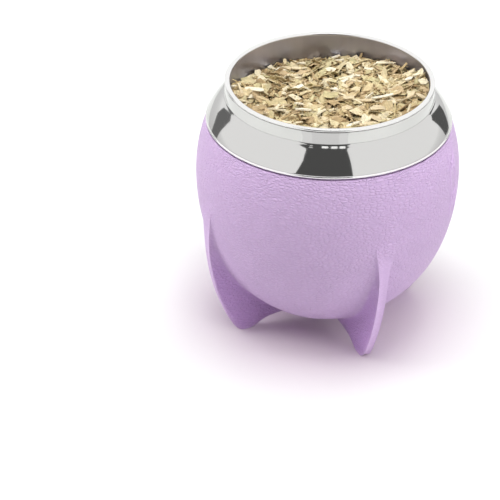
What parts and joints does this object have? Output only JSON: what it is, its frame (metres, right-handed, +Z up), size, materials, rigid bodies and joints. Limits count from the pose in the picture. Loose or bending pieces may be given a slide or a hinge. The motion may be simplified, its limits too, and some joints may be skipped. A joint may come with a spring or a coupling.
{
  "type": "mate cup filled with dry yerba mate leaf",
  "caption": "Round moulded mate cup on fin feet, with a polished steel collar and vessel, filled with dry yerba mate leaf.",
  "frame": {"origin": "on the floor under the cup's axis, at the centre of the four feet", "axes": "+Z up along the cup's axis; the feet stand on the diagonals between +X and +Y, and the moulded seam faces +X"},
  "size_m": [0.0996, 0.0996, 0.1019],
  "materials": {
    "body_shell": "pebbled leather grain, satin",
    "polished_steel": "mirror polished",
    "satin_steel": "satin inside, polished lip",
    "dry_leaf": "dry cut leaf and stem chips"
  },
  "bodies": {
    "root": {"body": "body_shell", "steel_collar": "polished_steel", "steel_vessel": "satin_steel", "yerba": "dry_leaf"}
  },
  "joints": []
}
